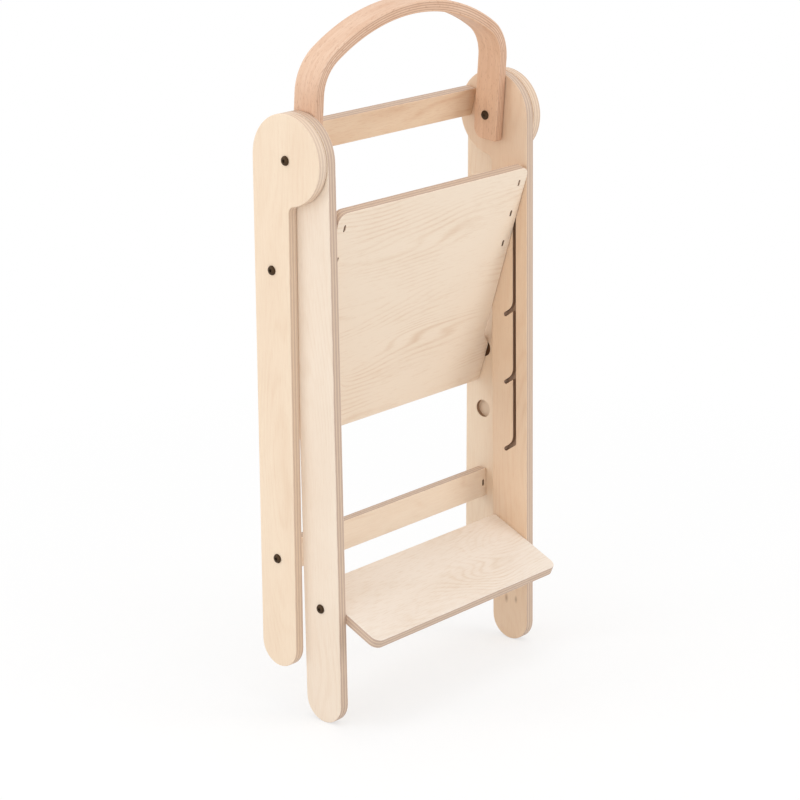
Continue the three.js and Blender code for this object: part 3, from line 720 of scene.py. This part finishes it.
def head_profile(seat, face, radius, way):
    """A flanged button head from its rim to its socket's floor, going one way along X.

    The dome is a quarter of an ellipse from the flange's rim to the flat round the socket. The
    socket has a chamfered mouth, straight walls and a floor that falls towards its middle.
    """
    hardware = bpy.context.scene.tower_hardware
    rim, flat = hardware.rim, hardware.flat
    soft, dome_steps = 0.25 * rim, 9
    side = [(radius - soft, seat), (radius, seat + way * soft), (radius, seat + way * (rim - soft))]
    angle = np.linspace(0, np.pi / 2, dome_steps)
    top = abs(face - seat) - rim
    dome_radius = flat + (radius - soft - flat) * np.cos(angle)
    dome_place = seat + way * (rim + top * np.sin(angle))
    dome = list(zip(dome_radius, dome_place))
    half = hardware.socket / 2
    depth = 0.62 * abs(face - seat)
    chamfer = 0.06 * hardware.socket
    socket = [
        (half + chamfer, face),
        (half, face - way * chamfer),
        (half, face - way * depth),
        (0.4 * half, face - way * 1.12 * depth),
    ]
    return side + dome + socket


def body_of(node):
    """The body that a node rides on, from the record."""
    groups = frame["record"]["behaviour"]["bodies"]
    return next(body for body, members in groups.items() if node in members)


def form_bolt(node):
    """A button-head bolt in place of a faceted one: chamfered tip, plain shank, flanged head."""
    centre, tip, face, radius = node_axis(node)
    way = 1 if node.endswith("right") else -1
    shank, height, chamfer = 0.003, 0.0033, 0.0006
    seat = face - height
    shaft = [(0.55 * shank, tip), (shank - chamfer, tip), (shank, tip + chamfer), (shank, seat)]
    rows = shaft + head_profile(seat, face, radius, 1)
    piece = turned_piece(
        f"{node}_turned",
        rows,
        centre,
        way,
        shared(black_oxide_steel),
        hexagons=range(len(rows) - SOCKET_ROWS, len(rows)),
    )
    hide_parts(node)
    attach(piece, body_of(node))


def form_sleeve(node):
    """The pivot's sleeve nut: a button head on the arch's inner face and a hollow sleeve outwards."""
    centre, face, end, radius = node_axis(node)
    way = 1 if node.endswith("right") else -1
    sleeve, bore, height = 0.0046, 0.0033, 0.0016
    rim, lip, floor, drill_tip = 0.0004, 0.0003, 0.0012, 0.0008
    seat = face + height
    head = head_profile(seat, face, radius, -1)[::-1]
    body = [
        (sleeve, seat),
        (sleeve, end - rim),
        (sleeve - rim, end),
        (bore + lip, end),
        (bore, end - lip),
        (bore, seat + floor),
        (0.5 * bore, seat + drill_tip),
    ]
    piece = turned_piece(
        f"{node}_turned",
        head + body,
        centre,
        way,
        shared(black_oxide_steel),
        hexagons=range(SOCKET_ROWS),
    )
    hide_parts(node)
    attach(piece, body_of(node))


def arch_path():
    """The bent strip's outer line from tail to tail, its outward directions, and the arch's lean.

    It is a straight tail, a shoulder arc, a crown arc, and the same mirrored. Half its width
    comes from the arch's own box. Its top over the pivot, the tail below it and the two radii
    are those of the former that the strip was bent over, as the frame's own arch has them.
    """
    low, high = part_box("arch_handle")
    lean = math.radians(5)
    outer, top, tail = (high.x - low.x) / 2, 0.192, 0.036
    shoulder, crown = 0.070, 0.300
    shoulder_x = outer - shoulder
    crown_z = top - crown
    shoulder_z = crown_z + math.sqrt((crown - shoulder) ** 2 - shoulder_x**2)
    meet = math.atan2(shoulder_z - crown_z, shoulder_x)
    straight_steps, bend_steps, over_steps = 60, 40, 81
    straight = np.linspace(-tail, shoulder_z, straight_steps)
    right = np.stack([np.full(straight.size, outer), straight], axis=-1)
    bend = arc((shoulder_x, shoulder_z), shoulder, 0, meet, bend_steps)[1:]
    over = arc((0, crown_z), crown, meet, np.pi - meet, over_steps)[1:]
    half = np.concatenate([right, bend])
    other = (half * (-1, 1))[::-1]
    line = np.concatenate([half, over[:-1], other])
    flat = np.zeros(straight.size)
    turn = np.concatenate([flat, np.linspace(0, meet, bend_steps)[1:]])
    across = np.linspace(meet, np.pi - meet, over_steps)[1:-1]
    facing = np.concatenate([turn, across, np.pi - turn[::-1]])
    return line, np.stack([np.cos(facing), np.sin(facing)], axis=-1), lean


def form_arch():
    """The laminated arch: a rounded rectangular section carried along the strip's path.

    A point is the outer line, moved inwards by its depth in the section, and moved along the
    strip's width. Near each tail the section shrinks along a quarter circle to round the end,
    and the rear side is cut away along a quarter circle of its own.
    """
    line, outward, lean = arch_path()
    width, soft, tail_round = 0.042, 0.0022, 0.017
    end_steps, same_place, least_radius = 8, 1e-6, 1e-5
    steps = np.linalg.norm(np.diff(line, axis=0), axis=1)
    travelled = np.concatenate([[0], np.cumsum(steps)])
    extra = soft * (1 - np.cos(np.linspace(0, np.pi / 2, end_steps)))
    wanted = np.unique(np.concatenate([extra, travelled[-1] - extra, travelled]))
    keep = np.concatenate([[True], np.diff(wanted) > same_place])
    place = wanted[keep]
    line = np.stack([np.interp(place, travelled, line[:, k]) for k in range(2)], axis=-1)
    outward = np.stack([np.interp(place, travelled, outward[:, k]) for k in range(2)], axis=-1)
    outward /= np.linalg.norm(outward, axis=1, keepdims=True)

    from_end = np.minimum(place, place[-1] - place)
    inset = soft - np.sqrt(np.maximum(soft**2 - np.maximum(soft - from_end, 0) ** 2, 0))
    rear = tail_round - np.sqrt(np.maximum(tail_round**2 - np.maximum(tail_round - from_end, 0) ** 2, 0))
    front = -width / 2 + inset
    back = width / 2 - np.maximum(rear, inset)
    radius = np.maximum(soft - inset, least_radius)
    half = STRIP / 2 - inset

    # Columns go round the section: four corners, each an arc, with straight runs between.
    corner = np.linspace(0, np.pi / 2, CORNER_COLUMNS)
    columns_d, columns_w = [], []
    for index, (side, end) in enumerate(((1, 1), (-1, 1), (-1, -1), (1, -1))):
        angle = corner + index * np.pi / 2
        centre_d = side * (half - radius)
        centre_w = np.where(end > 0, back - radius, front + radius)
        columns_d.append(centre_d[:, None] + radius[:, None] * np.cos(angle))
        columns_w.append(centre_w[:, None] + radius[:, None] * np.sin(angle))
    depth = np.concatenate(columns_d, axis=1)
    across = np.concatenate(columns_w, axis=1)
    depth, across = (denser(values) for values in (depth, across))

    middle = line - outward * (STRIP / 2)
    flat = middle[:, None, :] + outward[:, None, :] * depth[:, :, None]
    cos, sin = math.cos(lean), math.sin(lean)
    points = np.stack(
        [
            flat[..., 0],
            PIVOT.y + across * cos - flat[..., 1] * sin,
            PIVOT.z + across * sin + flat[..., 1] * cos,
        ],
        axis=-1,
    )
    strip = np.stack([np.broadcast_to(place[:, None], depth.shape), across, depth], axis=-1)
    piece = surface_object("arch_handle_bent", points, shared(steamed_beech), strip)
    face_outwards(piece)
    shade_by_angle(piece, 40)
    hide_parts("arch_handle")
    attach(piece, body_of("arch_handle"))


def denser(values, pieces=6):
    """Adds evenly spaced columns where the section runs straight from one corner's arc to the next."""
    share = np.linspace(0, 1, pieces + 1)[1:-1]
    parts = []
    for start in range(0, values.shape[1], CORNER_COLUMNS):
        block = values[:, start : start + CORNER_COLUMNS]
        following = values[:, (start + CORNER_COLUMNS) % values.shape[1]]
        parts.append(block)
        parts.append(block[:, -1:] * (1 - share) + following[:, None] * share)
    return np.concatenate(parts, axis=1)


# Operators


def dress(node, material):
    """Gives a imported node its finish."""
    slots = frame["nodes"][node].data.materials
    if len(slots):
        slots[0] = material
    else:
        slots.append(material)


def leg_frame(node):
    """The middle of a leg's thickness, and the turn that lays its grain along X."""
    low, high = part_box(node)
    return ((low.x + high.x) / 2, PIVOT.y, PIVOT.z), ("Y", math.pi / 2)


class TOWER_OT_dress_legs(bpy.types.Operator):
    """Gives the four legs their plywood, its grain running up the legs"""

    bl_idname = "tower.dress_legs"
    bl_label = "Dress Legs"

    def execute(self, context):
        pins = (Pin(-0.752, -0.023, 0.0042), Pin(-0.75, -0.042, 0.0034))
        # Each leg's cut shade paints shade in its pin groove or its peg recesses.
        legs = {
            "front_leg_left": dict(blush=0.6, cut_shade_and_knots=PIN_GROOVE),
            # Painted shade: a low blush and a warmth of 0.25 darken this leg, whose inner face lies in the shade
            # of the left legs and the platform.
            "front_leg_right": dict(blush=0.1, warmth=0.25, pins=pins, cut_shade_and_knots=PIN_GROOVE),
            "rear_leg_left": dict(blush=0.15, tan=0.9, bleach=0.4, cut_shade_and_knots=PEG_RECESSES),
            "rear_leg_right": dict(blush=0.15, tan=0.9, bleach=0.3, cut_shade_and_knots=PEG_RECESSES),
        }
        for index, (node, options) in enumerate(legs.items()):
            origin, turn = leg_frame(node)
            seed = 3.7 * index + 1.3
            name = f"birch_plywood_{node}"
            dress(node, birch_plywood(name, origin, turn, seed, figure=0.3, **options))
        return {"FINISHED"}


class TOWER_OT_dress_boards(bpy.types.Operator):
    """Gives the step, the platform, the rails and the top bar their plywood, its grain across the tower"""

    bl_idname = "tower.dress_boards"
    bl_label = "Dress Boards"

    def execute(self, context):
        step = dict(blush=1.0, warmth=-0.03, figure=0.5, swells=150.0, mottle=0.4, dashes=0.5)
        step["knots"] = (Knot(0.085, -0.045, 0.035, 26.0), Knot(0.15, 0.0, 0.05, 18.0))
        platform = dict(blush=0.42, warmth=-0.07, figure=0.8, swells=100.0, spacing=0.0095, dashes=0.4)
        platform["knots"] = (Knot(-0.14, -0.025, 0.014, 24.0), Knot(0.02, -0.07, 0.05, 9.0))
        # Painted shade in the platform's slots, and below in the rails' slots.
        platform["cut_shade_and_knots"] = PLATFORM_SLOTS
        rail = dict(blush=0.3, cut_shade_and_knots=RAIL_SLOTS)
        # Each board's tilt in degrees, as the frame holds it, and its look.
        boards = {
            "step_board": (23.5, step),
            "platform_board": (-71.76, platform),
            "rear_upper_rail": (-89.1, rail),
            "rear_lower_rail": (-89.1, rail),
            "top_bar": (-75.0, dict(warmth=0.13, figure=0.8, mottle=0.8, dashes=0.5)),
        }
        for index, (node, (tilt, options)) in enumerate(boards.items()):
            low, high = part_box(node)
            origin = tuple((low + high) / 2) if node != "platform_board" else tuple(PEGS)
            turn = ("X", -math.radians(tilt))
            seed = 5.1 * index + 20.0
            dress(node, birch_plywood(f"birch_plywood_{node}", origin, turn, seed, **options))
        for side in SIDES:
            node = f"step_dowel_{side}"
            low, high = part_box(node)
            origin = tuple((low + high) / 2)
            dress(node, birch_plywood(f"birch_{node}", origin, ("X", 0.0), seed=60.0))
        return {"FINISHED"}


class TOWER_OT_form_arch(bpy.types.Operator):
    """Bends the laminated beech arch"""

    bl_idname = "tower.form_arch"
    bl_label = "Form Arch"

    def execute(self, context):
        form_arch()
        return {"FINISHED"}


class TOWER_OT_form_bolts(bpy.types.Operator):
    """Turns the button-head bolts and the pivots' sleeve nuts"""

    bl_idname = "tower.form_bolts"
    bl_label = "Form Bolts"

    def execute(self, context):
        for side in SIDES:
            for kind in ("pivot_bolt", "step_bolt", "upper_rail_bolt", "lower_rail_bolt"):
                form_bolt(f"{kind}_{side}")
            form_sleeve(f"pivot_sleeve_{side}")
        return {"FINISHED"}


class TOWER_OT_dress_hardware(bpy.types.Operator):
    """Gives the nuts, screws, pins, pegs and washers their finish"""

    bl_idname = "tower.dress_hardware"
    bl_label = "Dress Hardware"

    def execute(self, context):
        finishes = {
            black_oxide_steel: ("bar_screw_1", "bar_screw_2", "platform_pin"),
            recess_shade_steel: ("platform_peg",),
            dull_zinc_plate: ("step_nut", "upper_rail_nut", "lower_rail_nut", "platform_nut"),
            moulded_nylon: ("leg_washer", "arch_washer"),
        }
        for make, kinds in finishes.items():
            for kind in kinds:
                for side in SIDES:
                    dress(f"{kind}_{side}", shared(make))
        return {"FINISHED"}


def matt_floor(name):
    """Matt white paper: near white to the camera, with a faint grain, and it keeps the object's shadow."""
    stage = bpy.context.scene.tower_stage
    made, tree = new_material(name)
    place = add(tree, "ShaderNodeTexCoord").outputs["Object"]
    grain = add(tree, "ShaderNodeTexNoise", {"Vector": place, "Scale": 40.0})
    rough = add(tree, "ShaderNodeMath", {0: grain.outputs[0], 1: 0.1, 2: 0.8}, operation="MULTIPLY_ADD")
    path = add(tree, "ShaderNodeLightPath")
    sheet = add(
        tree,
        "ShaderNodeMix",
        {0: path.outputs["Is Diffuse Ray"], 6: rgba(stage.backdrop), 7: rgba(stage.bounce)},
        data_type="RGBA",
    )
    paper = add(
        tree,
        "ShaderNodeBsdfPrincipled",
        {"Base Color": sheet.outputs[2], "Roughness": rough, "Specular IOR Level": 0.0},
    )
    glow = add(tree, "ShaderNodeEmission", {"Color": rgba(stage.backdrop), "Strength": 1.0})
    seen = add(
        tree,
        "ShaderNodeMath",
        {0: path.outputs["Is Camera Ray"], 1: path.outputs["Is Glossy Ray"]},
        operation="ADD",
        use_clamp=True,
    )
    # The sheet is lit paper round the object and fades to plain white a step away from it.
    far = add(tree, "ShaderNodeVectorMath", {0: place}, operation="LENGTH").outputs["Value"]
    fade = add(
        tree,
        "ShaderNodeMapRange",
        {"Value": far, "From Min": 0.4, "From Max": 1.5, "To Min": 0.6, "To Max": 1.0},
    )
    share = add(tree, "ShaderNodeMath", {0: seen, 1: fade}, operation="MULTIPLY")
    both = add(tree, "ShaderNodeMixShader", {0: share, 1: paper.outputs[0], 2: glow.outputs[0]})
    add(tree, "ShaderNodeOutputMaterial", {"Surface": both})
    return made


def white_surround():
    """White surroundings: they light the object evenly and show as white to the camera."""
    stage = bpy.context.scene.tower_stage
    world = bpy.data.worlds.new("white_surround")
    world.use_nodes = True
    tree = world.node_tree
    tree.nodes.clear()
    path = add(tree, "ShaderNodeLightPath")
    seen = add(
        tree,
        "ShaderNodeMath",
        {0: path.outputs["Is Camera Ray"], 1: path.outputs["Is Glossy Ray"]},
        operation="ADD",
        use_clamp=True,
    )
    seen = add(
        tree,
        "ShaderNodeMath",
        {0: seen, 1: path.outputs["Is Transmission Ray"]},
        operation="ADD",
        use_clamp=True,
    )
    strength = add(tree, "ShaderNodeMapRange", {"Value": seen, "To Min": stage.surround, "To Max": 1.0})
    light = add(tree, "ShaderNodeBackground", {"Color": rgba(stage.backdrop), "Strength": strength})
    add(tree, "ShaderNodeOutputWorld", {"Surface": light})
    return world


def soft_lamp(name, watts, size, place, target):
    """A large square lamp that faces a point."""
    lamp = bpy.data.lights.new(name, "AREA")
    lamp.energy = watts
    lamp.shape = "SQUARE"
    lamp.size = size
    made = bpy.data.objects.new(name, lamp)
    made.location = place
    made.rotation_mode = "QUATERNION"
    made.rotation_quaternion = (Vector(target) - Vector(place)).to_track_quat("-Z", "Y")
    bpy.context.scene.collection.objects.link(made)


class TOWER_OT_set_stage(bpy.types.Operator):
    """Sets the floor, the white surroundings, the soft lamps and the camera"""

    bl_idname = "tower.set_stage"
    bl_label = "Set Stage"

    def execute(self, context):
        stage = context.scene.tower_stage
        reach = 6.0
        mesh = bpy.data.meshes.new("floor")
        corners = [(-reach, -reach, 0), (reach, -reach, 0), (reach, reach, 0), (-reach, reach, 0)]
        mesh.from_pydata(corners, [], [(0, 1, 2, 3)])
        mesh.materials.append(matt_floor("matt_white_floor"))
        floor = bpy.data.objects.new("floor", mesh)
        context.scene.collection.objects.link(floor)
        context.scene.world = white_surround()
        middle = (0, 0, 0.5)
        soft_lamp("side_lamp", stage.side, 1.0, (-3.2, -0.2, 0.9), middle)
        soft_lamp("front_lamp", stage.front, 1.6, (1.6, -3.0, 1.3), middle)
        soft_lamp("top_lamp", stage.top, 1.8, (-0.2, -0.2, 3.2), middle)
        soft_lamp("rear_lamp", stage.rear, 1.4, (-2.6, 1.8, 1.5), middle)

        camera = bpy.data.cameras.new("camera")
        camera.lens = stage.lens
        camera.sensor_width = 36.0
        camera.shift_y = CAMERA_SHIFT
        made = bpy.data.objects.new("camera", camera)
        right = CAMERA_FORWARD.cross(CAMERA_UP)
        turn = Matrix((right, CAMERA_UP, -CAMERA_FORWARD)).transposed()
        made.matrix_world = turn.to_4x4()
        made.location = PIVOT + CAMERA_FROM_PIVOT
        context.scene.collection.objects.link(made)
        context.scene.camera = made
        context.scene.view_settings.view_transform = "Standard"
        return {"FINISHED"}


class TOWER_PT_sidebar(bpy.types.Panel):
    """The tower's pieces and settings"""

    bl_label = "Learning Tower"
    bl_idname = "TOWER_PT_sidebar"
    bl_space_type = "VIEW_3D"
    bl_region_type = "UI"
    bl_category = "Learning Tower"

    def draw(self, context):
        for operator in OPERATORS:
            self.layout.operator(operator.bl_idname)
        for name, settings in SETTINGS.items():
            box = self.layout.box()
            held = getattr(context.scene, name)
            for key in settings.__annotations__:
                box.prop(held, key)


SETTINGS = {
    "tower_birch": BirchSettings,
    "tower_beech": BeechSettings,
    "tower_hardware": HardwareSettings,
    "tower_stage": StageSettings,
}
OPERATORS = (
    TOWER_OT_dress_legs,
    TOWER_OT_dress_boards,
    TOWER_OT_form_arch,
    TOWER_OT_form_bolts,
    TOWER_OT_dress_hardware,
    TOWER_OT_set_stage,
)


def register():
    for made in (*SETTINGS.values(), *OPERATORS, TOWER_PT_sidebar):
        bpy.utils.register_class(made)
    for name, settings in SETTINGS.items():
        setattr(bpy.types.Scene, name, PointerProperty(type=settings))


def unregister():
    for name in SETTINGS:
        delattr(bpy.types.Scene, name)
    for made in reversed((*SETTINGS.values(), *OPERATORS, TOWER_PT_sidebar)):
        bpy.utils.unregister_class(made)


def main():
    """Makes every piece and the stage in order."""
    register()
    bpy.ops.tower.dress_legs()
    bpy.ops.tower.dress_boards()
    bpy.ops.tower.form_arch()
    bpy.ops.tower.form_bolts()
    bpy.ops.tower.dress_hardware()
    bpy.ops.tower.set_stage()


if __name__ == "__main__":
    main()
